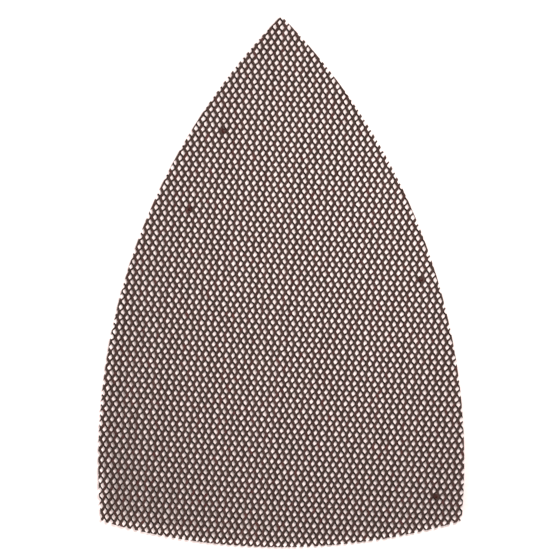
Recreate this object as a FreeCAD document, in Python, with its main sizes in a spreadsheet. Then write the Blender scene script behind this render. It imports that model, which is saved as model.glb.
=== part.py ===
import FreeCAD, Part
import math
import os
import Sketcher

# A net abrasive sheet for a detail sander: a warp-knitted net with a resin bond coat and abrasive
# grain on its face and a pile of open loops on its back, die-cut to a pointed iron shape.
# Millimetres. The sheet lies on Z = 0, loops down, grain up, with its point towards +Y.

SIZES = {
    # the die-cut outline
    "sheet_width": 105.0,
    "sheet_length": 152.0,
    "widest_above_base": 24.6,
    "base_radius": 180.0,
    "corner_radius": 1.0,
    # the knit: ribs run up the sheet, courses run across it
    "rib_pitch": 1.967,
    "course_repeat": 2.931,
    "rib_lean": 4.7,
    "course_dip": 3.5,
    "tip_rib_offset": 0.34,
    "tip_course_offset": 0.49,
    "band_count": 9,
    # the threads and the coats on them
    "chain_width": 0.84,
    "chain_swing": 0.29,
    "chain_thickness": 0.3,
    "link_width": 0.4,
    "link_thickness": 0.2,
    "link_stops_short": 0.12,
    "loop_width": 0.6,
    "loop_height": 0.45,
    "bond_thickness": 0.1,
    "grain_thickness": 0.15,
    "shortest_fragment": 0.5,
}

COURSES_PER_EDGE = 2  # long splines lose accuracy in area and volume, so a wave is many short ones

doc = FreeCAD.newDocument("NetAbrasiveSheet")
sheet = doc.addObject("Spreadsheet::Sheet", "Sizes")
for row, (alias, value) in enumerate(SIZES.items(), start=1):
    sheet.set(f"A{row}", alias)
    sheet.set(f"B{row}", str(value))
    sheet.setAlias(f"B{row}", alias)
doc.recompute()


def size(alias):
    """The number that the sheet holds under an alias."""
    return float(sheet.get(alias))


def make_outline():
    """The die's outline: two long side arcs and a bowed base, with a small round at each corner."""
    half_width = size("sheet_width") / 2
    half_length = size("sheet_length") / 2
    base_radius = size("base_radius")
    corner_radius = size("corner_radius")
    widest_y = size("widest_above_base") - half_length
    # the tip's round touches both side arcs from inside and reaches the sheet's full length
    tip_y = half_length - corner_radius
    side_height = tip_y - widest_y
    side_radius = (side_height**2 + half_width**2 - corner_radius**2) / (2 * (half_width - corner_radius))
    side_x = half_width - side_radius
    base_y = base_radius - half_length

    # the corner round touches the side arc and the base arc from inside
    inner_side = side_radius - corner_radius
    inner_base = base_radius - corner_radius
    gap_x, gap_y = -side_x, base_y - widest_y
    gap = math.hypot(gap_x, gap_y)
    along = (inner_side**2 - inner_base**2 + gap**2) / (2 * gap)
    across = math.sqrt(inner_side**2 - along**2)
    corner_x = side_x + (along * gap_x + across * gap_y) / gap
    corner_y = widest_y + (along * gap_y - across * gap_x) / gap
    side_end = math.atan2(corner_y - widest_y, corner_x - side_x)
    base_end = math.atan2(corner_y - base_y, corner_x)
    tip_angle = math.atan2(side_height, -side_x)

    sketch = doc.addObject("Sketcher::SketchObject", "die_outline")

    def arc(centre_x, centre_y, radius, start, end):
        centre = FreeCAD.Vector(centre_x, centre_y, 0)
        circle = Part.Circle(centre, FreeCAD.Vector(0, 0, 1), radius)
        return sketch.addGeometry(Part.ArcOfCircle(circle, start, end), False)

    right_side = arc(side_x, widest_y, side_radius, side_end, tip_angle)
    tip_round = arc(0, tip_y, corner_radius, tip_angle, math.pi - tip_angle)
    left_side = arc(-side_x, widest_y, side_radius, math.pi - tip_angle, math.pi - side_end)
    left_corner = arc(-corner_x, corner_y, corner_radius, math.pi - side_end, math.pi - base_end)
    base = arc(0, base_y, base_radius, math.pi - base_end, base_end)
    right_corner = arc(corner_x, corner_y, corner_radius, base_end, side_end)

    start, end, middle, y_axis, origin = 1, 2, 3, -2, -1
    ring = [right_side, tip_round, left_side, left_corner, base, right_corner]
    for first, second in zip(ring, ring[1:] + ring[:1]):
        sketch.addConstraint(Sketcher.Constraint("Tangent", first, end, second, start))
    sketch.addConstraint(Sketcher.Constraint("PointOnObject", tip_round, middle, y_axis))
    sketch.addConstraint(Sketcher.Constraint("PointOnObject", base, middle, y_axis))
    sketch.addConstraint(
        Sketcher.Constraint("Symmetric", right_side, middle, left_side, middle, y_axis)
    )
    sketch.addConstraint(Sketcher.Constraint("Equal", right_corner, left_corner))
    sketch.addConstraint(Sketcher.Constraint("Equal", right_corner, tip_round))

    driven = {
        "tip_centre": (
            ("DistanceY", origin, 1, tip_round, middle, tip_y),
            "Sizes.sheet_length / 2 - Sizes.corner_radius",
        ),
        "widest_depth": (
            ("DistanceY", right_side, middle, origin, 1, -widest_y),
            "Sizes.sheet_length / 2 - Sizes.widest_above_base",
        ),
        "side_radius": (
            ("Radius", right_side, side_radius),
            "((Sizes.sheet_length - Sizes.widest_above_base - Sizes.corner_radius) ^ 2"
            " + (Sizes.sheet_width / 2) ^ 2 - Sizes.corner_radius ^ 2)"
            " / (Sizes.sheet_width - 2 * Sizes.corner_radius)",
        ),
        "base_radius": (("Radius", base, base_radius), "Sizes.base_radius"),
        "base_centre": (
            ("DistanceY", origin, 1, base, middle, base_y),
            "Sizes.base_radius - Sizes.sheet_length / 2",
        ),
        "corner_radius": (("Radius", right_corner, corner_radius), "Sizes.corner_radius"),
    }
    for name, (constraint, expression) in driven.items():
        index = sketch.addConstraint(Sketcher.Constraint(*constraint))
        sketch.renameConstraint(index, name)
        sketch.setExpression(f"Constraints.{name}", expression)

    face = doc.addObject("Part::Face", "die_face")
    face.Sources = [sketch]
    face.FaceMakerClass = "Part::FaceMakerBullseye"
    doc.recompute()
    return face


die_face = make_outline()
die_box = die_face.Shape.BoundBox
tip = FreeCAD.Vector(0, size("sheet_length") / 2, 0)

# One step to the next rib on the right, and one course repeat down the sheet.
lean = math.radians(size("rib_lean"))
dip = math.radians(size("course_dip"))
down = FreeCAD.Vector(-math.sin(lean), -math.cos(lean), 0) * size("course_repeat")
right = FreeCAD.Vector(math.cos(dip), -math.sin(dip), 0) * (size("rib_pitch") / math.cos(lean - dip))


def knit_point(rib, course):
    """A place in the knit, counted in ribs across and course repeats down from the tip's rib."""
    return tip + right * (rib - size("tip_rib_offset")) + down * (course - size("tip_course_offset"))


def wave_edges(rib, swing, shift, courses):
    """A smooth wave up the sheet, swinging right at each course and left between, in short edges."""
    points = []
    for half in range(2 * courses[0], 2 * courses[1] + 1):
        side = 1 if half % 2 == 0 else -1
        points.append(knit_point(rib, half / 2) + right * ((side * swing + shift) / right.Length))
    wave = Part.BSplineCurve()
    wave.interpolate(points)
    knots = wave.getKnots()
    stops = list(range(0, len(knots) - 1, 2 * COURSES_PER_EDGE)) + [len(knots) - 1]
    edges = []
    for low, high in zip(stops, stops[1:]):
        piece = wave.copy()
        piece.segment(knots[low], knots[high])
        edges.append(piece.toShape())
    return edges


def ribbon(rib, swing, width, courses):
    """A flat wavy strip of one width, from one end of the knit to the other."""
    left = wave_edges(rib, swing, -width / 2, courses)
    other = wave_edges(rib, swing, width / 2, courses)
    top = Part.makeLine(left[0].firstVertex().Point, other[0].firstVertex().Point)
    bottom = Part.makeLine(left[-1].lastVertex().Point, other[-1].lastVertex().Point)
    return Part.Face(Part.Wire(Part.__sortEdges__(left + [bottom] + other + [top])))


def rib_range(margin):
    """The ribs, counted from the tip's rib, that cross the die at all, with a margin in ribs."""
    across = FreeCAD.Vector(down.y, -down.x, 0).normalize() * -1
    places = []
    for edge in die_face.Shape.Edges:
        for point in edge.discretize(60):
            places.append((point - tip).dot(across) / size("rib_pitch") + size("tip_rib_offset"))
    return math.floor(min(places) - margin), math.ceil(max(places) + margin)


def course_range():
    """The courses that cover the die from its tip to its base, with two to spare at each end."""
    spare = 2
    reach = math.hypot(die_box.YLength, die_box.XLength / 2 * math.tan(dip))
    side_drop = die_box.XLength * math.sin(dip)
    return -spare - math.ceil(side_drop / down.Length), spare + math.ceil((reach + side_drop) / down.Length)


def thread_plans(offset, swing, width):
    """The threads of one kind, cut by the die: a dictionary of faces by the rib that each thread
    belongs to, which it follows at an offset counted in ribs."""
    low, high = rib_range(1)
    courses = course_range()
    plans = {}
    for rib in range(low, high + 1):
        cut = ribbon(rib + offset, swing, width, courses).common(die_face.Shape)
        faces = [face for face in cut.Faces if face.Area > size("shortest_fragment") * width]
        if faces:
            plans[rib] = faces
    return plans


def make_bands(kind, plans, ribs):
    """The cut threads of one kind shared out over the bands: equal shares of the ribs, from the left."""
    count = int(size("band_count"))
    members = [[] for _ in range(count)]
    for rib, faces in plans.items():
        band = (rib - min(ribs)) * count // len(ribs)
        members[min(max(band, 0), count - 1)] += faces
    bands = []
    for number, faces in enumerate(members, start=1):
        plan = doc.addObject("Part::Feature", f"{kind}_plan_{number}")
        plan.Shape = Part.makeCompound(faces)
        bands.append(plan)
    return bands


def make_layer(name, bands, below, thickness):
    """One layer of every band: its plan made solid on top of the layers below. Thickness and the
    thicknesses below are aliases, and the solids stay tied to them."""
    layers = []
    for number, plan in enumerate(bands, start=1):
        layer = doc.addObject("Part::Extrusion", f"{name}_{number}")
        layer.Label = f"{name}_{number}"
        layer.Base = plan
        layer.DirMode = "Custom"
        layer.Dir = FreeCAD.Vector(0, 0, 1)
        layer.Solid = True
        layer.setExpression("LengthFwd", f"Sizes.{thickness}")
        if below:
            layer.setExpression("Placement.Base.z", " + ".join(f"Sizes.{alias}" for alias in below))
        layers.append(layer)
    return layers


# Ribs stand at whole counts and links half way between them. A link swings against its ribs, and
# stops a little short of the middle of each neighbour where that rib comes nearest.
chain_swing = size("chain_swing")
link_swing = right.Length / 2 - chain_swing - size("link_stops_short")
chain_plans = thread_plans(0, -chain_swing, size("chain_width"))
link_plans = thread_plans(0.5, link_swing, size("link_width"))
loop_plans = thread_plans(0, -chain_swing, size("loop_width"))
chain_bands = make_bands("chain", chain_plans, chain_plans)
link_bands = make_bands("link", link_plans, chain_plans)
loop_bands = make_bands("loop", loop_plans, chain_plans)

stack = [
    ("loop_threads", loop_bands, "loop_height"),
    ("link_threads", link_bands, "link_thickness"),
    ("chain_threads", chain_bands, "chain_thickness"),
    ("bond_coat", chain_bands, "bond_thickness"),
    ("grain_coat", chain_bands, "grain_thickness"),
]
nodes = []
below = []
for name, bands, thickness in stack:
    nodes += make_layer(name, bands, below, thickness)
    below.append(thickness)
doc.recompute()

for item in doc.Objects:
    if "Invalid" in item.State or "Error" in item.State:
        raise RuntimeError(f"{item.Label} did not build: {item.State}")
for node in nodes:
    if node.Shape.isNull() or not node.Shape.isValid():
        raise RuntimeError(f"{node.Label} is not a valid shape")

os.makedirs("parts", exist_ok=True)
for node in nodes:
    node.Shape.exportStep(f"parts/{node.Label}.step")

solids = [solid for node in nodes for solid in node.Shape.Solids]
whole = Part.makeCompound(solids).optimalBoundingBox()
print(f"{len(nodes)} nodes, {len(solids)} solids")
print(f"X {whole.XMin:.2f} to {whole.XMax:.2f}, Y {whole.YMin:.2f} to {whole.YMax:.2f},"
      f" Z {whole.ZMin:.2f} to {whole.ZMax:.2f}")
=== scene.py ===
import math
import bpy
import numpy as np
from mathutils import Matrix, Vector


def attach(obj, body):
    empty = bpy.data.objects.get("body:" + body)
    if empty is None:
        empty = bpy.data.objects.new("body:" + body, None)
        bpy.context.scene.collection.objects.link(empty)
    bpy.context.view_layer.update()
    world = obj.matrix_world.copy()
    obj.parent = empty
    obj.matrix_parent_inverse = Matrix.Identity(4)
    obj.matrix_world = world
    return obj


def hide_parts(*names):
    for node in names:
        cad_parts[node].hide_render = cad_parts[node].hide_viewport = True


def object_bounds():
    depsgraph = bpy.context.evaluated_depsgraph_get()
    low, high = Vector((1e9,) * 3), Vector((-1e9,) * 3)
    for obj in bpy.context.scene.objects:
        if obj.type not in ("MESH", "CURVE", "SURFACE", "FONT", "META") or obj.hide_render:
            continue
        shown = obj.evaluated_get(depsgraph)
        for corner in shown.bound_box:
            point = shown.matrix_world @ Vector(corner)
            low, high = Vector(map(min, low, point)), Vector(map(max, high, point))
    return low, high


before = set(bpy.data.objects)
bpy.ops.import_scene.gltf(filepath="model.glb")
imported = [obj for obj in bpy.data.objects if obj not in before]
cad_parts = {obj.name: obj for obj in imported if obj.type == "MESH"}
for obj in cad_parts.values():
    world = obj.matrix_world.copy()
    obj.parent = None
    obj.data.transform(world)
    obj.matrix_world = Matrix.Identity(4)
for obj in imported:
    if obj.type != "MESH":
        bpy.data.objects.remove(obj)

cadLow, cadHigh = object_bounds()
mm = 0.001  # the shapes below are worked out in millimetres and scaled when a mesh is made
tau = 2 * math.pi
tiny = 1e-9

# camera: straight above the sheet, its point up in the picture

camera = {
    "lens": 135.0,
    "sensor": 36.0,
    "viewWidth": 160.64 * mm,  # what the picture spans at the height of the sheet's face
    "aimX": -0.356 * mm,
    "aimY": 0.66 * mm,
    "sees": (0.01, 10.0),  # from how near to how far
}


# a long lens looking straight down, as far up as the view's width asks for
def makeCamera(values):
    data = bpy.data.cameras.new("camera")
    data.lens = values["lens"]
    data.sensor_width = values["sensor"]
    data.clip_start, data.clip_end = values["sees"]
    camObject = bpy.data.objects.new("camera", data)
    distance = values["viewWidth"] * values["lens"] / values["sensor"]
    camObject.location = (values["aimX"], values["aimY"], cadHigh.z + distance)
    bpy.context.scene.collection.objects.link(camObject)
    bpy.context.scene.camera = camObject


makeCamera(camera)
print("camera made")

# the die-cut outline: two side arcs and a bowed base, with a small round at each corner

outline = {
    "widestAboveBase": 24.6,
    "baseRadius": 180.0,
    "cornerRadius": 1.0,
    "cornerReach": 4,  # how near a corner its round is looked for, in its radii
    "passes": 3,
}
halfWidth = (cadHigh.x - cadLow.x) / 2 / mm
halfLength = (cadHigh.y - cadLow.y) / 2 / mm


# the centre of a round that touches two discs from inside: where they meet, each less its radius
def cornerCentre(first, second, radius):
    innerFirst, innerSecond = first[1] - radius, second[1] - radius
    gap = second[0] - first[0]
    length = np.hypot(*gap)
    along = (innerFirst**2 - innerSecond**2 + length**2) / (2 * length)
    across = math.sqrt(innerFirst**2 - along**2)
    unit = gap / length
    return first[0] + unit * along + np.array([unit[1], -unit[0]]) * across


# the discs whose common part is the sheet, and its corners as (centre, first disc, second disc). The
# side discs are as wide as the sheet and touch the tip's round, which reaches its full length
def makeOutline(values):
    cornerRadius = values["cornerRadius"]
    tip = np.array([0.0, halfLength - cornerRadius])
    widest = values["widestAboveBase"] - halfLength
    height = tip[1] - widest
    radius = (height**2 + halfWidth**2 - cornerRadius**2) / (2 * (halfWidth - cornerRadius))
    rightSide = (np.array([halfWidth - radius, widest]), radius)
    leftSide = (rightSide[0] * [-1, 1], radius)
    base = (np.array([0.0, values["baseRadius"] - halfLength]), values["baseRadius"])
    corner = cornerCentre(rightSide, base, cornerRadius)
    rounds = [
        (corner, rightSide, base),
        (corner * [-1, 1], leftSide, base),
        (tip, rightSide, leftSide),
    ]
    return [rightSide, leftSide, base], rounds


discs, outlineRounds = makeOutline(outline)


# how far inside the outline points lie, in millimetres; negative outside
def insideBy(points):
    depths = [radius - np.linalg.norm(points - centre, axis=-1) for centre, radius in discs]
    return np.minimum.reduce(depths)


# points moved onto a circle, straight towards its centre, where they lie outside it
def pulledIn(points, centre, radius):
    away = points - centre
    length = np.linalg.norm(away, axis=-1, keepdims=True)
    return centre + away * np.minimum(1, radius / np.maximum(length, tiny))


# points outside the outline moved to it: onto each disc in turn, then onto the corners' rounds
def cutToOutline(points):
    cut = points
    for _ in range(outline["passes"]):
        for centre, radius in discs:
            cut = pulledIn(cut, centre, radius)
    cornerRadius = outline["cornerRadius"]
    for centre, *sides in outlineRounds:
        inCorner = np.linalg.norm(cut - centre, axis=-1) < outline["cornerReach"] * cornerRadius
        for middle, radius in sides:
            inCorner &= np.linalg.norm(cut - middle, axis=-1) > radius - cornerRadius
        cut = np.where(inCorner[..., None], pulledIn(cut, centre, cornerRadius), cut)
    return cut


# the knit: ribs that zigzag up the sheet, links that wander from rib to rib

knit = {
    "ribPitch": 1.967,
    "courseRepeat": 2.931,
    "ribLean": 4.7,  # degrees off the sheet's length
    "courseDip": 3.5,  # degrees off its width
    "middleRib": 3.429,  # where the sheet's middle lies, in ribs and courses
    "middleCourse": 26.537,
    "ribSwing": 0.29,
    # the courses where a link meets its right rib, leaves it, meets its left one and leaves that
    "linkTurns": (-0.134, 0.084, 0.358, 0.586),
    "linkReach": 0.156,  # how near a link's middle comes to a rib's, in ribs
    "linkRounding": 0.05,
    "roundingSteps": 5,
    "bowAcross": (1.06e-4, 1.31e-4, -6.9e-5),  # drift over x*x, x*y and y*y, per millimetre
    "bowAlong": (1.19e-4, -2e-6, -7.9e-5),
    "unevenness": 0.06,  # how far a stitch sits from its place
    "firstStep": 0.01,  # keeps the steps of a thread off the whole courses
    "pastBase": 1.2,
    "headingStep": 0.02,  # half the stretch, in courses, that a rib's heading is read from
    "bands": 9,
}
seeds = {
    "knit": 7,
    "chains": 11,
    "links": 12,
    "fillets": 21,
    "grains": 31,
    "loops": 41,
    "clots": 51,
}
lean, dip = math.radians(knit["ribLean"]), math.radians(knit["courseDip"])
down = np.array([-math.sin(lean), -math.cos(lean)]) * knit["courseRepeat"]
right = np.array([math.cos(dip), -math.sin(dip)]) * knit["ribPitch"] / math.cos(lean - dip)
acrossUnit = right / np.hypot(*right)
ribReach = 40  # more ribs each way than the sheet has
courseReach = 60  # more courses than it has down, and half as many spare above its tip
unevenSize = (2 * ribReach, 4 * courseReach, 2)
unevenTable = np.random.default_rng(seeds["knit"]).normal(0, knit["unevenness"], unevenSize)


# a quadratic drift: values are its parts over x*x, x*y and y*y
def bent(values, x, y):
    return values[0] * x * x + values[1] * x * y + values[2] * y * y


# the place of a rib and course count: whole steps right and down from the middle, plus drift
def knitPoint(rib, course):
    ribsAcross, coursesDown = rib - knit["middleRib"], course - knit["middleCourse"]
    flat = right * ribsAcross[..., None] + down * coursesDown[..., None]
    x, y = flat[..., 0], flat[..., 1]
    return flat + np.stack([bent(knit["bowAcross"], x, y), bent(knit["bowAlong"], x, y)], -1)


# the small offset of a stitch, eased from each half course to the next
def uneven(rib, course):
    half = 2 * course + courseReach
    step = np.floor(half).astype(int)
    part = half - step
    part = (part * part * (3 - 2 * part))[..., None]
    row = unevenTable[rib + ribReach]
    return row[step] * (1 - part) + row[step + 1] * part


# a rib's middle line: a cosine swing, left at each whole course and right between, and uneven
def ribCentre(rib, course):
    swing = -knit["ribSwing"] * np.cos(tau * course)
    place = knitPoint(np.full_like(course, rib), course)
    return place + acrossUnit * swing[..., None] + uneven(rib, course)


# directions (n, 2) turned a quarter to the right
def turnedRight(directions):
    return np.stack([directions[:, 1], -directions[:, 0]], -1)


# which way a rib runs at each course: the unit vector from a little before it to a little after
def ribHeading(rib, course):
    step = knit["headingStep"]
    heading = ribCentre(rib, course + step) - ribCentre(rib, course - step)
    return heading / np.linalg.norm(heading, axis=1, keepdims=True)


# a link's middle line: a trapezoid wave between its two ribs' lines, its corners rounded off by
# averaging it over nearby courses
def linkCentre(rib, course):
    turns = np.array(knit["linkTurns"])
    times = np.append(turns, turns[0] + 1) - turns[0]
    near, far = knit["linkReach"], 1 - knit["linkReach"]
    levels = [far, far, near, near, far]
    eases = np.linspace(-1, 1, knit["roundingSteps"]) * knit["linkRounding"]
    waves = [np.interp((course + ease - turns[0]) % 1, times, levels) for ease in eases]
    share = np.mean(waves, axis=0)[..., None]
    return ribCentre(rib, course) * (1 - share) + ribCentre(rib + 1, course) * share


# making meshes


# collects vertices, faces and their map corners for one piece, block by block
class PieceMesh:
    def __init__(self):
        self.points, self.faces, self.slots, self.tones = [], [], [], []
        self.count = 0

    # faces (m, k) over the piece's own points, with map corners (m, k, 2)
    def addFaces(self, faces, corners, slot):
        self.faces.append((faces, corners))
        self.slots.append(np.full(len(faces), slot, np.int32))

    # one block: points (n, 3) in millimetres, and faces over those points
    def add(self, points, faces, corners, slot=0, tone=0.5):
        self.addFaces(faces + self.count, corners, slot)
        self.points.append(points)
        self.tones.append(np.broadcast_to(tone, len(points)).astype(np.float32))
        self.count += len(points)

    # the finished object, with its map named OFBake and its tone attribute
    def build(self, name, materials):
        points = np.concatenate(self.points) * mm
        blocks, maps = zip(*self.faces)
        sizes = np.concatenate([np.full(len(faces), faces.shape[1], np.int32) for faces in blocks])
        loops = np.concatenate([faces.ravel() for faces in blocks]).astype(np.int32)
        corners = np.concatenate([corners.reshape(-1, 2) for corners in maps])
        mesh = bpy.data.meshes.new(name)
        mesh.vertices.add(len(points))
        mesh.vertices.foreach_set("co", points.astype(np.float32).ravel())
        mesh.loops.add(len(loops))
        mesh.loops.foreach_set("vertex_index", loops)
        mesh.polygons.add(len(sizes))
        starts = np.concatenate([[0], np.cumsum(sizes)[:-1]]).astype(np.int32)
        mesh.polygons.foreach_set("loop_start", starts)
        mesh.polygons.foreach_set("loop_total", sizes)
        mesh.polygons.foreach_set("material_index", np.concatenate(self.slots))
        mesh.update(calc_edges=True)
        mesh.uv_layers.new(name="OFBake")
        mesh.uv_layers["OFBake"].data.foreach_set("uv", corners.astype(np.float32).ravel())
        tone = mesh.attributes.new("tone", "FLOAT", "POINT")
        tone.data.foreach_set("value", np.concatenate(self.tones))
        mesh.validate()
        for material in materials:
            mesh.materials.append(material)
        piece = bpy.data.objects.new(name, mesh)
        bpy.context.scene.collection.objects.link(piece)
        return piece


# quads between rings of points that close on themselves
def gridFaces(rows, around):
    i, j = np.meshgrid(np.arange(rows - 1), np.arange(around), indexing="ij")
    ring, nextRing, nextJ = i * around, (i + 1) * around, (j + 1) % around
    return np.stack([ring + j, ring + nextJ, nextRing + nextJ, nextRing + j], -1).reshape(-1, 4)


# the map corners of those quads: u runs along the rings and v round them, each from nought to one
def gridCorners(rows, around):
    i, j = np.meshgrid(np.arange(rows - 1), np.arange(around), indexing="ij")
    u = np.stack([i, i, i + 1, i + 1], -1).reshape(-1, 4) / (rows - 1)
    v = np.stack([j, j + 1, j + 1, j], -1).reshape(-1, 4) / around
    return np.stack([u, v], -1)


# a closed tube from rings (m, k, 4) of x, y, z and tone: points, side quads, end triangles, corners.
# On the map the tube is one strip, u along it and v round it, with the end caps in its margins
def tubeBlock(rings):
    rows, around = rings.shape[:2]
    points = np.concatenate([rings.reshape(-1, 4), rings[0].mean(0)[None], rings[-1].mean(0)[None]])
    k = np.arange(around)
    first, last = rows * around, rows * around + 1
    end = (rows - 1) * around
    caps = np.concatenate([
        np.stack([(k + 1) % around, k, np.full(around, first)], -1),
        np.stack([end + k, end + (k + 1) % around, np.full(around, last)], -1),
    ])
    capV = np.stack([(k + 1) / around, k / around, (k + 0.5) / around], -1)
    edge = 1.0 / (rows - 1)
    capU = np.concatenate([
        np.tile([0.0, 0.0, -edge], (around, 1)),
        np.tile([1.0, 1.0, 1.0 + edge], (around, 1)),
    ])
    capV = np.concatenate([capV, capV[:, [1, 0, 2]]])
    capCorners = np.stack([capU, capV], -1)
    return points, gridFaces(rows, around), gridCorners(rows, around), caps, capCorners


# rings of an oval section along a path: wide across it, high up it, relief out from its skin. Each
# ring point is x, y, z and the tone of its colour
def sweep(path, level, wide, high, around, relief, tone):
    along = np.gradient(path, axis=0)
    along /= np.linalg.norm(along, axis=1, keepdims=True)
    side = turnedRight(along)
    angle = np.arange(around) * tau / around
    out, up = np.cos(angle), np.sin(angle)
    reach = (wide[:, None] + relief) * out
    flat = path[:, None] + side[:, None] * reach[..., None]
    height = level[:, None] + (high[:, None] + relief) * up
    tone = np.broadcast_to(tone, height.shape)
    return np.concatenate([flat, height[..., None], tone[..., None]], -1)


# the stretches of a swept thread that lie in the outline, their ends cut off flush with it
def cutRuns(rings, shortest=5):
    inside = (insideBy(rings[..., :2]) > 0).any(1)
    edges = np.flatnonzero(np.diff(np.concatenate([[0], inside.astype(int), [0]])))
    runs = []
    for start, stop in zip(edges[::2], edges[1::2]):
        run = rings[max(start - 1, 0):stop + 1].copy()
        if len(run) < shortest:
            continue
        run[..., :2] = cutToOutline(run[..., :2])
        runs.append(run)
    return runs


# how the sheet lies

lay = {
    "swell": 0.12,
    "swellAcross": (2.1, 0.7),  # radians over half the width, and at the middle
    "swellAlong": (1.7, -0.4),  # the same over half the length
    "cornerRise": 0.16,
}


# the slight rise of a sheet that isn't pressed down: a sine across times a cosine along, and the
# fourth power of the distance from the middle in half sizes, which lifts the corners most
def sheetWave(points):
    x, y = points[..., 0] / halfWidth, points[..., 1] / halfLength
    across, along = lay["swellAcross"], lay["swellAlong"]
    swell = 0.5 + 0.5 * np.sin(across[0] * x + across[1]) * np.cos(along[0] * y + along[1])
    return lay["swell"] * swell + lay["cornerRise"] * (x * x + y * y) ** 2


# thread shapes

chainThread = {
    "halfWidth": 0.39,
    "halfHeight": 0.27,
    "level": 0.78,
    "levelWave": 0.03,  # how much it rises at the whole and half courses
    "stitchRelief": 0.05,
    "legFrom": 0.15,  # how far apart a V's legs start, and how much they spread over a stitch
    "legSpread": 0.75,
    "legWidth": 0.22,
    "roughness": 0.014,
    "swell": 0.09,
    "swellAt": 0.25,
    "widthNoise": 0.03,
    "tone": 0.5,
    # how much the relief lightens or darkens the tone: painted light and shade
    "reliefLightAndShade": 2.2,
    "toneNoise": 0.05,
    "stepsPerRepeat": 14,
    "around": 12,
}
linkThread = {
    "halfWidth": 0.25,
    "halfHeight": 0.17,
    "level": 0.70,
    "dip": 0.1,  # how much lower the falling crossings lie
    "crossingSharpness": 1.3,
    "crossingAt": 0.02,
    "widthNoise": 0.06,
    "roughness": 0.01,
    "tone": 0.35,
    # painted light where a link's crossing rises and painted shade where it falls lower
    "paintedLightRising": 0.4,
    "paintedShadeFalling": 0.3,
    "toneNoise": 0.06,
    "stepsPerRepeat": 10,
    "around": 6,
}


# the courses that a thread is worked out at, from well above the tip to a little past the base
def threadCourses(values):
    count = 2 * courseReach * values["stepsPerRepeat"]
    course = np.arange(count) / values["stepsPerRepeat"] - courseReach / 2 + knit["firstStep"]
    return course[course < courseReach * knit["pastBase"]]


# one rib: an oval sweep along ribCentre. Two chain stitches to a repeat each raise a V, a bell
# curve over the distance from its legs; the rib swells, rises and falls once in each stitch too
def chainRings(rib, values, rng):
    course = threadCourses(values)
    path = ribCentre(rib, course)
    stitch = (2 * course) % 1.0
    angle = np.arange(values["around"]) * tau / values["around"]
    leg = np.abs(np.cos(angle))[None] - (values["legFrom"] + values["legSpread"] * stitch)[:, None]
    face = np.clip(np.sin(angle), 0, 1)[None]
    relief = values["stitchRelief"] * (np.exp(-(leg / values["legWidth"]) ** 2) - 0.5) * face
    relief = relief + rng.normal(0, values["roughness"], relief.shape)
    swell = 1 + values["swell"] * np.cos(tau * 2 * (course - values["swellAt"]))
    wide = values["halfWidth"] * (swell + rng.normal(0, values["widthNoise"], len(course)))
    high = np.full(len(course), values["halfHeight"])
    level = values["level"] + values["levelWave"] * np.cos(tau * 2 * course)
    noise = values["toneNoise"]
    # the tone follows the relief: painted light where the skin stands out, painted shade where it dips
    tone = values["tone"] + values["reliefLightAndShade"] * relief + rng.normal(0, noise)
    tone = tone + rng.normal(0, noise, (len(course), 1))
    return sweep(path, level, wide, high, values["around"], relief, tone)


# one link: a thinner oval sweep along linkCentre, lower where it falls to the right, with painted shade
# there and painted light where it rises
def linkRings(rib, values, rng):
    course = threadCourses(values)
    path = linkCentre(rib, course)
    crossing = values["crossingSharpness"] * np.sin(tau * (course - values["crossingAt"]))
    falling, rising = np.clip(-crossing, 0, 1), np.clip(crossing, 0, 1)
    level = values["level"] - values["dip"] * falling
    wide = values["halfWidth"] * (1 + rng.normal(0, values["widthNoise"], len(course)))
    high = np.full(len(course), values["halfHeight"])
    relief = rng.normal(0, values["roughness"], (len(course), values["around"]))
    # painted light on the rising crossings, painted shade on the falling, lower ones
    tone = values["tone"] + values["paintedLightRising"] * rising - values["paintedShadeFalling"] * falling
    tone = tone + rng.normal(0, values["toneNoise"], len(course))
    return sweep(path, level, wide, high, values["around"], relief, tone[:, None])


# every thread of a kind that the outline keeps some of: a list of (rib, runs), from the left
def threadsInOutline(makeRings, values, seed):
    threads = []
    for rib in range(1 - ribReach, ribReach - 2):
        rng = np.random.default_rng([seed, rib + ribReach])
        runs = cutRuns(makeRings(rib, values, rng))
        if runs:
            threads.append((rib, runs))
    return threads


# the threads of one band: equal shares of the ribs, counted from the left. A short stub at the right
# edge counts as a rib here and isn't one of the solids, so from the second band on each band starts
# and ends one rib further right than the solids that it stands for
def bandOf(threads, band):
    first, count = chains[0][0], knit["bands"]
    shares = [min(max((rib - first) * count // len(chains), 0), count - 1) for rib, _ in threads]
    return [thread for thread, share in zip(threads, shares) if share == band]


chains = threadsInOutline(chainRings, chainThread, seeds["chains"])
links = threadsInOutline(linkRings, linkThread, seeds["links"])
print("threads worked out:", len(chains), "chain threads and", len(links), "links")

# materials

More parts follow.
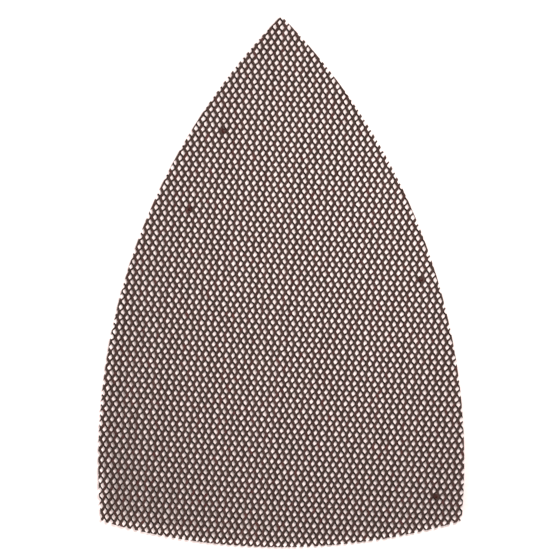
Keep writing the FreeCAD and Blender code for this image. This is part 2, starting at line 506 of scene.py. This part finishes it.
toneWeight = 0.4  # how much a thread's own tone, which holds painted light and shade beside random mottling, shifts its colour, next to the grit
tintAmount = 0.9
plainSpecular = 0.12
colours = {
    "coatDark": (0.020, 0.009, 0.0065),
    "coatMid": (0.045, 0.0235, 0.019),
    "coatPale": (0.092, 0.053, 0.044),
    # the links' colours: a darker copy of the coat, painted shade for their lower place under the ribs
    "linkShadeDark": (0.013, 0.0045, 0.003),
    "linkShadeMid": (0.028, 0.012, 0.0085),
    # the fillets' dark colours are painted shade in the corners between threads; resinMid is also the
    # clots' own colour
    "resinShadeDark": (0.010, 0.004, 0.003),
    "resinMid": (0.026, 0.011, 0.008),
    "backDark": (0.110, 0.068, 0.054),
    "yarn": (0.200, 0.130, 0.105),
    "yarnPale": (0.330, 0.240, 0.200),
    "grainDark": (0.045, 0.022, 0.018),
    # the palest grains are painted glints
    "grainPaleGlint": (0.190, 0.120, 0.105),
    "clot": (0.055, 0.012, 0.009),
    # the warm floor colour under the sheet is painted shade and brown bounce light from the net, seen
    # through its holes
    "floor": (0.93, 0.79, 0.76),
    "farFloor": (0.93, 0.93, 0.93),
}


# a material with a Principled shader; returns it with its nodes, links and shader
def newMaterial(name):
    material = bpy.data.materials.new(name)
    material.use_nodes = True
    tree = material.node_tree
    shader = tree.nodes["Principled BSDF"]
    shader.inputs["Specular IOR Level"].default_value = plainSpecular
    return material, tree.nodes, tree.links, shader


# noise over the object's own coordinates, in metres
def objectNoise(nodes, wires, scale, detail, roughness=0.6):
    place = nodes.new("ShaderNodeTexCoord")
    noise = nodes.new("ShaderNodeTexNoise")
    noise.inputs["Scale"].default_value = scale
    noise.inputs["Detail"].default_value = detail
    noise.inputs["Roughness"].default_value = roughness
    wires.new(place.outputs["Object"], noise.inputs["Vector"])
    return noise.outputs["Fac"]


# a ramp of colours over a value: stops are (position, colour)
def colourRamp(nodes, wires, source, stops):
    ramp = nodes.new("ShaderNodeValToRGB")
    while len(ramp.color_ramp.elements) < len(stops):
        ramp.color_ramp.elements.new(0.5)
    for element, (position, colour) in zip(ramp.color_ramp.elements, stops):
        element.position = position
        element.color = (*colour, 1.0)
    wires.new(source, ramp.inputs["Fac"])
    return ramp.outputs["Color"]


# two colours mixed; factor, first and second are sockets or values
def mixColours(nodes, wires, factor, first, second, blend="MIX"):
    mix = nodes.new("ShaderNodeMix")
    mix.data_type = "RGBA"
    mix.blend_type = blend
    for name, value in (("Factor", factor), ("A", first), ("B", second)):
        socket = mix.inputs[name]
        if isinstance(value, bpy.types.NodeSocket):
            wires.new(value, socket)
        elif isinstance(value, tuple):
            socket.default_value = (*value, 1.0)
        else:
            socket.default_value = value
    return mix.outputs["Result"]


# the tone that each point of a piece carries: on the threads painted light and shade with random
# mottling, on the grains each grain's random colour with painted glints
def ownTone(nodes):
    shade = nodes.new("ShaderNodeAttribute")
    shade.attribute_name = "tone"
    return shade.outputs["Fac"]


# bump on a shader from a noise's value, its distance in metres
def bumpFrom(nodes, wires, shader, noise, strength, distance):
    bump = nodes.new("ShaderNodeBump")
    bump.inputs["Strength"].default_value = strength
    bump.inputs["Distance"].default_value = distance
    wires.new(noise, bump.inputs["Height"])
    wires.new(bump.outputs["Normal"], shader.inputs["Normal"])


# roughness that runs from low to high with a noise's value
def roughnessFrom(nodes, wires, shader, noise, low, high):
    spread = nodes.new("ShaderNodeMapRange")
    spread.inputs["From Min"].default_value = 0.3
    spread.inputs["From Max"].default_value = 0.7
    spread.inputs["To Min"].default_value = low
    spread.inputs["To Max"].default_value = high
    wires.new(noise, spread.inputs["Value"])
    wires.new(spread.outputs["Result"], shader.inputs["Roughness"])


# patches of a redder or an olive cast over a colour, a millimetre or two across
def tintDrift(nodes, wires, base):
    patches = objectNoise(nodes, wires, scale=620.0, detail=3.0)
    cast = colourRamp(nodes, wires, patches, [
        (0.32, (0.80, 0.96, 0.86)),
        (0.46, (1.0, 1.0, 1.0)),
        (0.56, (1.0, 1.0, 1.0)),
        (0.68, (1.60, 0.94, 1.0)),
    ])
    return mixColours(nodes, wires, tintAmount, base, cast, "MULTIPLY")


# knitted thread stiffened with resin and grit: brown, mottled by its own tone, which holds painted
# light and shade, and by fine noise
def coatedThread(name, shades, rough):
    material, nodes, wires, shader = newMaterial(name)
    dark, mid, pale = (colours[shade] for shade in shades)
    grit = objectNoise(nodes, wires, scale=9000.0, detail=4.0, roughness=0.7)
    mixed = nodes.new("ShaderNodeMath")
    mixed.operation = "MULTIPLY_ADD"
    mixed.inputs[1].default_value = toneWeight
    wires.new(ownTone(nodes), mixed.inputs[0])
    wires.new(grit, mixed.inputs[2])
    middle, contrast = 0.5 + 0.5 * toneWeight, 0.2
    base = colourRamp(nodes, wires, mixed.outputs["Value"], [
        (middle - contrast, dark), (middle, mid), (middle + contrast, pale),
    ])
    wires.new(tintDrift(nodes, wires, base), shader.inputs["Base Color"])
    roughnessFrom(nodes, wires, shader, grit, *rough)
    bumpFrom(nodes, wires, shader, grit, strength=0.7, distance=0.00008)
    return material


# cured resin that has drawn up into the corners between threads: darker, as painted shade in those
# corners, and smoother
def resinFillet():
    material, nodes, wires, shader = newMaterial("resinFillet")
    cloud = objectNoise(nodes, wires, scale=4000.0, detail=3.0)
    base = colourRamp(nodes, wires, cloud, [
        (0.35, colours["resinShadeDark"]), (0.65, colours["resinMid"]),
    ])
    wires.new(base, shader.inputs["Base Color"])
    roughnessFrom(nodes, wires, shader, cloud, low=0.32, high=0.5)
    bumpFrom(nodes, wires, shader, cloud, strength=0.3, distance=0.00005)
    return material


# aluminium oxide grains under a thin size coat: each its own colour, drawn at random, the palest of
# them painted glints, with small glints from their roughness
def abrasiveGrain():
    material, nodes, wires, shader = newMaterial("abrasiveGrain")
    base = colourRamp(nodes, wires, ownTone(nodes), [
        (0.0, colours["grainDark"]), (0.75, colours["coatPale"]), (1.0, colours["grainPaleGlint"]),
    ])
    wires.new(tintDrift(nodes, wires, base), shader.inputs["Base Color"])
    facets = objectNoise(nodes, wires, scale=14000.0, detail=2.0)
    roughnessFrom(nodes, wires, shader, facets, low=0.3, high=0.55)
    bumpFrom(nodes, wires, shader, facets, strength=0.3, distance=0.00002)
    return material


# bare polyamide filament: paler than the face, with a soft sheen, from one colour to another
def bareYarn(name, low, high):
    material, nodes, wires, shader = newMaterial(name)
    fibre = objectNoise(nodes, wires, scale=2500.0, detail=2.0)
    base = colourRamp(nodes, wires, fibre, [(0.3, low), (0.7, high)])
    wires.new(base, shader.inputs["Base Color"])
    shader.inputs["Roughness"].default_value = 0.6
    shader.inputs["Sheen Weight"].default_value = 0.25
    shader.inputs["Sheen Roughness"].default_value = 0.5
    bumpFrom(nodes, wires, shader, fibre, strength=0.2, distance=0.00003)
    return material


# resin that dried across a hole: dark red-brown and a little glossy
def resinClot():
    material, nodes, wires, shader = newMaterial("resinClot")
    cloud = objectNoise(nodes, wires, scale=3000.0, detail=3.0)
    base = colourRamp(nodes, wires, cloud, [
        (0.35, colours["clot"]), (0.7, colours["resinMid"]),
    ])
    wires.new(base, shader.inputs["Base Color"])
    shader.inputs["Roughness"].default_value = 0.38
    bumpFrom(nodes, wires, shader, cloud, strength=0.4, distance=0.0001)
    return material


chainCoat = coatedThread("chainCoat", ("coatDark", "coatMid", "coatPale"), (0.5, 0.8))
# the links' coat is a darker copy of the ribs' coat: painted shade
shadedLinkCoat = coatedThread("shadedLinkCoat", ("linkShadeDark", "linkShadeMid", "coatMid"), (0.55, 0.85))
filletResin = resinFillet()
grainFinish = abrasiveGrain()
loopFinish = bareYarn("loopYarn", colours["yarn"], colours["yarnPale"])
backFinish = bareYarn("backYarn", colours["backDark"], colours["yarn"])
clotFinish = resinClot()
print("materials made")

# the coated net, a band at a time

fillet = {
    "size": (0.15, 0.20, 0.13),  # half sizes across, along and up
    "level": 0.72,
    "courses": (0.10, 0.335, 0.61, 0.85),  # where a link meets a rib, in each repeat
    "sideSign": (1, -1, -1, 1),  # which rib it meets there: 1 the right one, -1 the left one
    "bulk": (0.8, 1.35, 1.0, 0.9),
    "offset": 0.36,  # from the rib's middle line to the corner
    "inside": 0.25,  # how far inside the outline its middle stays
    "sizeNoise": 0.15,
    "shapeNoise": 0.06,
}
net = {
    "backBelow": -0.6,  # faces whose angle round the thread has a lower sine are the bare back
    "ribRows": (0.0, 0.60),  # what each kind of shape takes of the map's height
    "linkRows": (0.60, 0.85),
    "filletRows": (0.86, 0.995),
    "foldAfter": 60,  # steps of a thread in one row of the map
    "sideMargin": 0.02,
    "rowMargin": 0.06,
}
chainSlot, linkSlot, filletSlot, backSlot = range(4)


# the twenty-faced ball: three golden rectangles at right angles
def icosahedron():
    g = (1 + math.sqrt(5)) / 2
    points = np.array([
        (-1, g, 0), (1, g, 0), (-1, -g, 0), (1, -g, 0), (0, -1, g), (0, 1, g),
        (0, -1, -g), (0, 1, -g), (g, 0, -1), (g, 0, 1), (-g, 0, -1), (-g, 0, 1),
    ]) / math.hypot(1, g)
    faces = np.array([
        (0, 11, 5), (0, 5, 1), (0, 1, 7), (0, 7, 10), (0, 10, 11), (1, 5, 9), (5, 11, 4),
        (11, 10, 2), (10, 7, 6), (7, 1, 8), (3, 9, 4), (3, 4, 2), (3, 2, 6), (3, 6, 8),
        (3, 8, 9), (4, 9, 5), (2, 4, 11), (6, 2, 10), (8, 6, 7), (9, 8, 1),
    ])
    return points, faces


# the eight-faced grain: four corners round its waist, a top and a bottom
def octahedron():
    points = np.array([(1, 0, 0), (0, 1, 0), (-1, 0, 0), (0, -1, 0), (0, 0, 1), (0, 0, -1)], float)
    faces = np.array([
        (0, 1, 4), (1, 2, 4), (2, 3, 4), (3, 0, 4), (1, 0, 5), (2, 1, 5), (3, 2, 5), (0, 3, 5),
    ])
    return points, faces


# map corners of a small convex body: its upper faces seen from above, its lower ones beside them
def flatMap(points, faces):
    tilt = points @ np.array([[1, 0], [0, 1], [0.11, 0.07]])  # no face is seen edge on
    a, b, c = (tilt[faces[:, k]] for k in range(3))
    upper = ((b - a)[:, 0] * (c - a)[:, 1] - (b - a)[:, 1] * (c - a)[:, 0]) > 0
    reach = 0.21  # of the cell's width, which keeps the two views apart
    shrunk = tilt / np.abs(tilt).max() * reach
    corners = shrunk[faces] + np.where(upper, 0.25, 0.75)[:, None, None] * [1, 0] + [0, 0.5]
    corners[..., 1] = (corners[..., 1] - 0.5) * 2 + 0.5
    return corners


# copies of a body: template points bent by jitter, turned and sized by frames, moved to centres
def scatter(template, centres, frames, jitter, rng):
    points, faces = template
    bodies = points[None] * (1 + rng.normal(0, jitter, (len(centres), len(points), 1)))
    bodies = np.einsum("nij,nkj->nki", frames, bodies) + centres[:, None]
    allFaces = faces[None] + (np.arange(len(centres)) * len(points))[:, None, None]
    return bodies.reshape(-1, 3), allFaces.reshape(-1, 3)


# each body's map corners in a cell of its own, in the rows of the map from low to high
def gridCells(count, corners, low, high):
    columns = max(1, math.ceil(math.sqrt(count / (high - low))))
    rows = max(1, math.ceil(count / columns))
    index = np.arange(count)
    left, bottom = (index % columns) / columns, low + (index // columns) / rows * (high - low)
    origin = np.stack([left, bottom], -1)
    cell = np.array([1 / columns, (high - low) / rows])
    return (origin[:, None, None] + corners[None] * cell).reshape(-1, corners.shape[1], 2)


# frames that turn a body to headings (n, 2) and size it across, along and up
def headingFrames(headings, sizes):
    frames = np.zeros((len(headings), 3, 3))
    frames[:, :2, 0] = turnedRight(headings) * sizes[:, :1]
    frames[:, :2, 1] = headings * sizes[:, 1:2]
    frames[:, 2, 2] = sizes[:, 2]
    return frames


# the corners where the band's links run onto their ribs, inside the outline
def filletPlaces(band):
    places, headings, bulks = [], [], []
    whole = np.arange(-courseReach / 2, courseReach, 1.0)
    for rib, _ in bandOf(links, band):
        for part, side, bulk in zip(fillet["courses"], fillet["sideSign"], fillet["bulk"]):
            course = whole + part
            meets = rib + (1 if side == 1 else 0)
            places.append(ribCentre(meets, course) - side * acrossUnit * fillet["offset"])
            headings.append(ribHeading(meets, course))
            bulks.append(np.full(len(course), bulk))
    places, headings, bulks = map(np.concatenate, (places, headings, bulks))
    kept = insideBy(places) > fillet["inside"]
    return places[kept], headings[kept], bulks[kept]


# a tube's map corners laid in rows of foldAfter steps: u from the step in its row, v from the row, both
# inside the row's margins, and the rows between low and high, one rowHeight each
def foldedMap(corners, length, fold, row, low, rowHeight):
    perRow, side, edge = net["foldAfter"], net["sideMargin"], net["rowMargin"]
    u = (corners[..., 0] * length - fold * perRow) / perRow
    v = row + fold + edge + (1 - 2 * edge) * corners[..., 1]
    return np.stack([side + u * (1 - 2 * side), low + v * rowHeight], -1)


# adds closed tubes to a piece, raised as the sheet is, their map corners between low and high; the
# faces that look down take the slot called under
def addTubes(mesh, strips, slot, under, low, high):
    folds = [math.ceil((len(rings) - 1) / net["foldAfter"]) for rings in strips]
    rowHeight = (high - low) / max(sum(folds), 1)
    row = 0
    for rings, foldCount in zip(strips, folds):
        rings = rings.copy()
        rings[..., 2] += sheetWave(rings[..., :2])
        points, quads, corners, caps, capCorners = tubeBlock(rings)
        length, around = len(rings) - 1, rings.shape[1]
        fold = np.floor((corners[:, 0, 0] * length + 0.5) / net["foldAfter"])[:, None]
        capFold = np.where(capCorners[..., 0] > 0.5, foldCount - 1, 0)
        angle = (np.arange(len(quads)) % around + 0.5) * tau / around
        slots = np.where(np.sin(angle) < net["backBelow"], under, slot)
        sideMap = foldedMap(corners, length, fold, row, low, rowHeight)
        capMap = foldedMap(capCorners, length, capFold, row, low, rowHeight)
        start = mesh.count
        mesh.add(points[:, :3], quads, sideMap, slots, points[:, 3])
        mesh.addFaces(caps + start, capMap, slot)
        row += foldCount


# shading, the body it rides on, and the solids that it stands for, which it hides, if any
def finishPiece(piece, nodes, smooth=True):
    if smooth:
        piece.data.shade_smooth()
    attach(piece, "root")
    if nodes:
        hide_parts(*nodes)


# the separate runs of some threads, in their order
def runsOf(threads):
    return [run for _, runs in threads for run in runs]


# one band of coated net: its ribs, its links and the resin fillets between them
def makeNet(band):
    mesh = PieceMesh()
    addTubes(mesh, runsOf(bandOf(chains, band)), chainSlot, backSlot, *net["ribRows"])
    addTubes(mesh, runsOf(bandOf(links, band)), linkSlot, backSlot, *net["linkRows"])
    places, headings, bulks = filletPlaces(band)
    rng = np.random.default_rng([seeds["fillets"], band])
    spread = 1 + rng.normal(0, fillet["sizeNoise"], (len(places), 3))
    sizes = np.array(fillet["size"]) * bulks[:, None] * spread
    level = fillet["level"] + sheetWave(places)
    centres = np.concatenate([places, level[:, None]], -1)
    frames = headingFrames(headings, sizes)
    points, faces = scatter(icosahedron(), centres, frames, fillet["shapeNoise"], rng)
    corners = gridCells(len(places), flatMap(*icosahedron()), *net["filletRows"])
    mesh.add(points, faces, corners, filletSlot)
    number = band + 1
    piece = mesh.build(f"coated_net_{number}", [chainCoat, shadedLinkCoat, filletResin, backFinish])
    solids = [f"chain_threads_{number}", f"link_threads_{number}", f"bond_coat_{number}"]
    finishPiece(piece, solids)
    return piece


netPieces = [makeNet(band) for band in range(knit["bands"])]
print("coated net made:", sum(len(piece.data.polygons) for piece in netPieces), "faces")

# abrasive grains on the face

grain = {
    "count": 15000,  # in each third of the sheet, before the outline is cut
    "half": 0.062,
    "spread": 0.22,
    "sides": (0.75, 1.3),
    "shapeNoise": 0.12,
    "linkShare": 0.25,
    "sink": 0.35,
    "inside": 0.12,  # how far inside the outline its middle stays
    "skin": (0.09, 0.41),  # the part of a turn round a thread that grains lie on
    "shortestRun": 8,  # rings of a thread too short to carry grains
    "endRings": 2,  # rings kept bare at each end
    "tone": (2.0, 3.0),  # the two shapes of the beta spread of their shades
}


# the bands that make up one third of the sheet
def bandsOfThird(third):
    perThird = knit["bands"] // 3
    return range(third * perThird, (third + 1) * perThird)


# the threads of those bands
def threadsOfThird(threads, third):
    return [thread for band in bandsOfThird(third) for thread in bandOf(threads, band)]


# random places on the upper skin of threads: points and the skin's outward directions
def skinPoints(threads, count, rng):
    bare = grain["endRings"]
    runs = [run[bare:-bare] for run in runsOf(threads) if len(run) > grain["shortestRun"]]
    rings = np.concatenate(runs)
    pick = rng.integers(0, len(rings), count)
    around = rings.shape[1]
    where = rng.uniform(*grain["skin"], count) * around
    low = np.floor(where).astype(int)
    part = (where - low)[:, None]
    points = rings[pick, low] * (1 - part) + rings[pick, (low + 1) % around] * part
    outward = points - rings[pick].mean(1)
    outward = outward[:, :3] / np.linalg.norm(outward[:, :3], axis=1, keepdims=True)
    return points[:, :3], outward


# frames with random turns: a random quaternion's matrix times sizes
def randomFrames(count, sizes, rng):
    q = rng.normal(size=(count, 4))
    q /= np.linalg.norm(q, axis=1, keepdims=True)
    w, x, y, z = q.T
    turn = np.stack([
        1 - 2 * (y * y + z * z), 2 * (x * y - w * z), 2 * (x * z + w * y),
        2 * (x * y + w * z), 1 - 2 * (x * x + z * z), 2 * (y * z - w * x),
        2 * (x * z - w * y), 2 * (y * z + w * x), 1 - 2 * (x * x + y * y),
    ], -1).reshape(-1, 3, 3)
    return turn * sizes[:, None, :]


# the grains on one third of the sheet: jittered octahedra part sunk in the coat
def makeGrains(third):
    rng = np.random.default_rng([seeds["grains"], third])
    fromLinks = int(grain["count"] * grain["linkShare"])
    onRibs = skinPoints(threadsOfThird(chains, third), grain["count"] - fromLinks, rng)
    onLinks = skinPoints(threadsOfThird(links, third), fromLinks, rng)
    places, outward = (np.concatenate(pair) for pair in zip(onRibs, onLinks))
    kept = insideBy(places[:, :2]) > grain["inside"]
    places, outward = places[kept], outward[kept]
    half = grain["half"] * np.exp(rng.normal(0, grain["spread"], len(places)))
    sizes = half[:, None] * rng.uniform(*grain["sides"], (len(places), 3))
    centres = places + outward * (half * (1 - 2 * grain["sink"]))[:, None]
    centres[:, 2] += sheetWave(places[:, :2])
    frames = randomFrames(len(places), sizes, rng)
    template = octahedron()
    points, faces = scatter(template, centres, frames, grain["shapeNoise"], rng)
    corners = gridCells(len(places), flatMap(*template), 0.0, 1.0)
    mesh = PieceMesh()
    tone = np.repeat(rng.beta(*grain["tone"], len(places)), len(template[0]))
    mesh.add(points, faces, corners, tone=tone)
    piece = mesh.build(f"abrasive_grains_{third + 1}", [grainFinish])
    solids = [f"grain_coat_{band + 1}" for band in bandsOfThird(third)]
    finishPiece(piece, solids, smooth=False)
    return piece


grains = [makeGrains(third) for third in range(3)]
print("grains made:", sum(len(piece.data.polygons) for piece in grains) // len(octahedron()[1]))

# loop pile on the back

loop = {
    "perStitch": 4,
    "strays": 0.2,  # how far along its rib a loop lies from its stitch, in courses
    "inside": 0.3,  # how far inside the outline its root stays
    "turns": 0.9,  # how far it turns off its rib's way, in radians
    "root": 0.62,
    "radius": 0.027,
    "span": 0.26,
    "spanSpread": (0.7, 1.25),
    "spanArc": 0.98,
    "drop": 0.57,
    "dropSpread": (0.72, 1.0),
    "dropPower": 0.7,  # under one makes the arch squarer
    "slump": 0.16,
    "points": 5,
    "sides": 3,
    "cellMargins": (0.05, 0.08),
}


# where loops are rooted on the ribs of one third, and the way their ribs run there
def loopRoots(third, rng):
    whole = np.arange(-courseReach, 2 * courseReach) / 2.0
    whole = whole[(whole > -courseReach / 2) & (whole < courseReach)]
    stitches = np.repeat(whole, loop["perStitch"])
    roots, headings = [], []
    for rib, _ in threadsOfThird(chains, third):
        course = stitches + rng.uniform(-loop["strays"], loop["strays"], len(stitches))
        roots.append(ribCentre(rib, course))
        headings.append(ribHeading(rib, course))
    roots, headings = map(np.concatenate, (roots, headings))
    kept = insideBy(roots) > loop["inside"]
    return roots[kept], headings[kept]


# the middle lines of open loops: forwards a sine from end to end, down a power of half a sine, and
# leaning aside by half a sine, each loop turned and sized at random
def loopPaths(third, rng):
    roots, headings = loopRoots(third, rng)
    count = len(roots)
    turn = rng.uniform(-loop["turns"], loop["turns"], count)[:, None]
    ahead = headings * np.cos(turn) + turnedRight(headings) * np.sin(turn)
    aside = turnedRight(ahead)
    t = np.linspace(0, 1, loop["points"])
    arch = np.sin(math.pi * t)[None]
    span = loop["span"] * rng.uniform(*loop["spanSpread"], count)
    drop = loop["drop"] * rng.uniform(*loop["dropSpread"], count)
    slump = rng.uniform(-loop["slump"], loop["slump"], count)
    forth = span[:, None] * np.sin(math.pi * (t - 0.5) * loop["spanArc"])[None]
    sideways = slump[:, None] * arch
    flat = roots[:, None] + ahead[:, None] * forth[..., None] + aside[:, None] * sideways[..., None]
    height = loop["root"] - drop[:, None] * arch ** loop["dropPower"] + sheetWave(flat)
    return np.concatenate([flat, height[..., None]], -1), aside


# thin tubes round those lines: rings across each path, square to it
def loopTubes(path, aside):
    along = np.gradient(path, axis=1)
    along /= np.linalg.norm(along, axis=2, keepdims=True)
    level = np.concatenate([aside, np.zeros((len(aside), 1))], 1)
    normal = np.cross(along, np.broadcast_to(level[:, None], along.shape))
    normal /= np.linalg.norm(normal, axis=2, keepdims=True)
    across = np.cross(normal, along)
    angle = np.arange(loop["sides"]) * tau / loop["sides"]
    out, up = np.cos(angle)[:, None], np.sin(angle)[:, None]
    ring = across[:, :, None] * out + normal[:, :, None] * up
    return path[:, :, None] + ring * loop["radius"]


# the open filament loops under every stitch of one third of the sheet
def makeLoops(third):
    rng = np.random.default_rng([seeds["loops"], third])
    tubes = loopTubes(*loopPaths(third, rng))
    count, size = len(tubes), loop["points"] * loop["sides"]
    quads = gridFaces(loop["points"], loop["sides"])
    faces = (quads[None] + (np.arange(count) * size)[:, None, None]).reshape(-1, 4)
    margins = np.array(loop["cellMargins"])
    cell = margins + (1 - 2 * margins) * gridCorners(loop["points"], loop["sides"])
    mesh = PieceMesh()
    mesh.add(tubes.reshape(-1, 3), faces, gridCells(count, cell, 0.0, 1.0))
    piece = mesh.build(f"loop_pile_{third + 1}", [loopFinish])
    finishPiece(piece, [f"loop_threads_{band + 1}" for band in bandsOfThird(third)])
    return piece


piles = [makeLoops(third) for third in range(3)]
print("loop pile made:", sum(len(piece.data.polygons) for piece in piles), "faces")

# resin clots that closed a few holes

# each is (rib, course, half width, half length), in the hole to the right of that rib, where one hole
# lies at each whole course and one at each half
clots = [
    (-7, 12.0, 0.66, 0.72),
    (-11, 20.0, 0.60, 0.62),
    (23, 25.5, 0.66, 0.72),
    (28, 46.5, 0.62, 0.66),
]
clotShape = {
    "level": 0.74,
    "halfHeight": 0.13,
    "rows": 7,
    "around": 14,
    "poles": (0.02, 0.98),  # where the first and last rings lie, from pole to pole
    "flatness": 0.6,  # under one makes its outline fuller
    "lobes": ((3, 0.09), (5, 0.05)),  # how many lobes, and how deep
    "holeShare": 0.454,  # how far over to the next rib a hole's middle lies at a whole course
    "holeRise": 0.026,
    "mapShare": 0.9,
}


# the middle of a hole: nearer its left rib where the link is at its right, and the other way round
def holeCentre(rib, course):
    near = clotShape["holeShare"]
    share = near if course % 1 == 0 else 1 - near
    course = np.array([course - clotShape["holeRise"]])
    return (ribCentre(rib, course) * (1 - share) + ribCentre(rib + 1, course) * share)[0]


# the rings of one clot, a flattened ball closed at its poles: a power of a sine out, a cosine up,
# and an outline of a few sine lobes
def clotRings(middle, wide, long, rng):
    tilt = np.linspace(*clotShape["poles"], clotShape["rows"])[:, None] * math.pi
    angle = np.arange(clotShape["around"]) * tau / clotShape["around"]
    edge = 1
    for count, depth in clotShape["lobes"]:
        edge = edge + depth * np.cos(count * angle + rng.uniform(0, tau))
    out = np.sin(tilt) ** clotShape["flatness"] * edge[None]
    x = middle[0] + wide * out * np.cos(angle)
    y = middle[1] + long * out * np.sin(angle)
    z = clotShape["level"] + clotShape["halfHeight"] * np.cos(tilt) * np.ones(len(angle))
    return np.stack([x, y, z, np.full_like(x, 0.5)], -1)[::-1]


# all the clots as one piece, which stands for no solid
def makeClots():
    mesh = PieceMesh()
    for number, (rib, course, wide, long) in enumerate(clots):
        rng = np.random.default_rng([seeds["clots"], number])
        rings = clotRings(holeCentre(rib, course), wide, long, rng)
        low, high = number / len(clots), (number + clotShape["mapShare"]) / len(clots)
        addTubes(mesh, [rings], 0, 0, low, high)
    piece = mesh.build("resin_clots", [clotFinish])
    finishPiece(piece, [])


makeClots()
print("clots made")

# floor, light and picture

studio = {
    "floorHalf": 3.0,
    "floorRoughness": 0.9,
    "floorSpecular": 0.1,
    "shadeTintFades": (0.085, 0.13),  # the floor's warm painted shade under the sheet ends between these radii
    "sweepRises": (0.12, 0.34),  # and its white glow rises between these
    "sweepGlow": 0.47,
    "ambient": 0.52,
    "backdrop": 0.94,  # how bright the sky itself looks above the floor's far edge
    "keyPlace": (0.05, 0.06, 0.25),
    "keySide": 0.07,
    "keyLevel": 0.92,  # what a white floor straight under it would send back
    "fillPlace": (-0.28, -0.35, 0.125),
    "fillSide": 0.22,
    "fillLevel": 1.3,
    "aim": (-0.02, -0.03, 0.0),
}


# nought below one value, one above another, eased between
def easeBetween(nodes, wires, source, low, high):
    ease = nodes.new("ShaderNodeMapRange")
    ease.interpolation_type = "SMOOTHSTEP"
    ease.inputs["From Min"].default_value = low
    ease.inputs["From Max"].default_value = high
    wires.new(source, ease.inputs["Value"])
    return ease.outputs["Result"]


# a pale floor, tinted warm under the sheet as painted shade, which brightens evenly to a white sweep
# far from it
def makeFloor():
    half = studio["floorHalf"]
    mesh = bpy.data.meshes.new("floor")
    square = [(-half, -half, 0), (half, -half, 0), (half, half, 0), (-half, half, 0)]
    mesh.from_pydata(square, [], [(0, 1, 2, 3)])
    floor = bpy.data.objects.new("floor", mesh)
    bpy.context.scene.collection.objects.link(floor)
    material, nodes, wires, shader = newMaterial("floorPaint")
    place = nodes.new("ShaderNodeTexCoord")
    away = nodes.new("ShaderNodeVectorMath")
    away.operation = "LENGTH"
    wires.new(place.outputs["Object"], away.inputs[0])
    # the warm painted shade fades out past the sheet's edge
    shadeFade = easeBetween(nodes, wires, away.outputs["Value"], *studio["shadeTintFades"])
    base = mixColours(nodes, wires, shadeFade, colours["floor"], colours["farFloor"])
    wires.new(base, shader.inputs["Base Color"])
    rise = easeBetween(nodes, wires, away.outputs["Value"], *studio["sweepRises"])
    glow = nodes.new("ShaderNodeMath")
    glow.operation = "MULTIPLY"
    glow.inputs[1].default_value = studio["sweepGlow"]
    wires.new(rise, glow.inputs[0])
    shader.inputs["Emission Color"].default_value = (1.0, 1.0, 1.0, 1.0)
    wires.new(glow.outputs["Value"], shader.inputs["Emission Strength"])
    shader.inputs["Roughness"].default_value = studio["floorRoughness"]
    shader.inputs["Specular IOR Level"].default_value = studio["floorSpecular"]
    mesh.materials.append(material)


# a soft square lamp aimed at the sheet; a white floor facing it there would send back its level
def makeLamp(name, place, side, level):
    lamp = bpy.data.lights.new(name, "AREA")
    lamp.size = side
    towards = Vector(studio["aim"]) - Vector(place)
    lamp.energy = level * math.pi**2 * towards.length_squared
    lampObject = bpy.data.objects.new(name, lamp)
    lampObject.location = place
    lampObject.rotation_euler = towards.to_track_quat("-Z", "Y").to_euler()
    bpy.context.scene.collection.objects.link(lampObject)


# even sky light, a lamp nearly overhead at the upper right, and a low one at the lower left
def makeLight():
    world = bpy.data.worlds.new("studio")
    world.use_nodes = True
    nodes, wires = world.node_tree.nodes, world.node_tree.links
    nodes["Background"].inputs["Color"].default_value = (1.0, 1.0, 1.0, 1.0)
    seen = nodes.new("ShaderNodeLightPath")
    level = nodes.new("ShaderNodeMapRange")
    level.inputs["To Min"].default_value = studio["ambient"]
    level.inputs["To Max"].default_value = studio["backdrop"]
    wires.new(seen.outputs["Is Camera Ray"], level.inputs["Value"])
    wires.new(level.outputs["Result"], nodes["Background"].inputs["Strength"])
    bpy.context.scene.world = world
    makeLamp("key", studio["keyPlace"], studio["keySide"], studio["keyLevel"])
    makeLamp("fill", studio["fillPlace"], studio["fillSide"], studio["fillLevel"])


makeFloor()
makeLight()
view = bpy.context.scene.view_settings
view.view_transform = "Standard"
view.look = "None"
print("floor and light made")
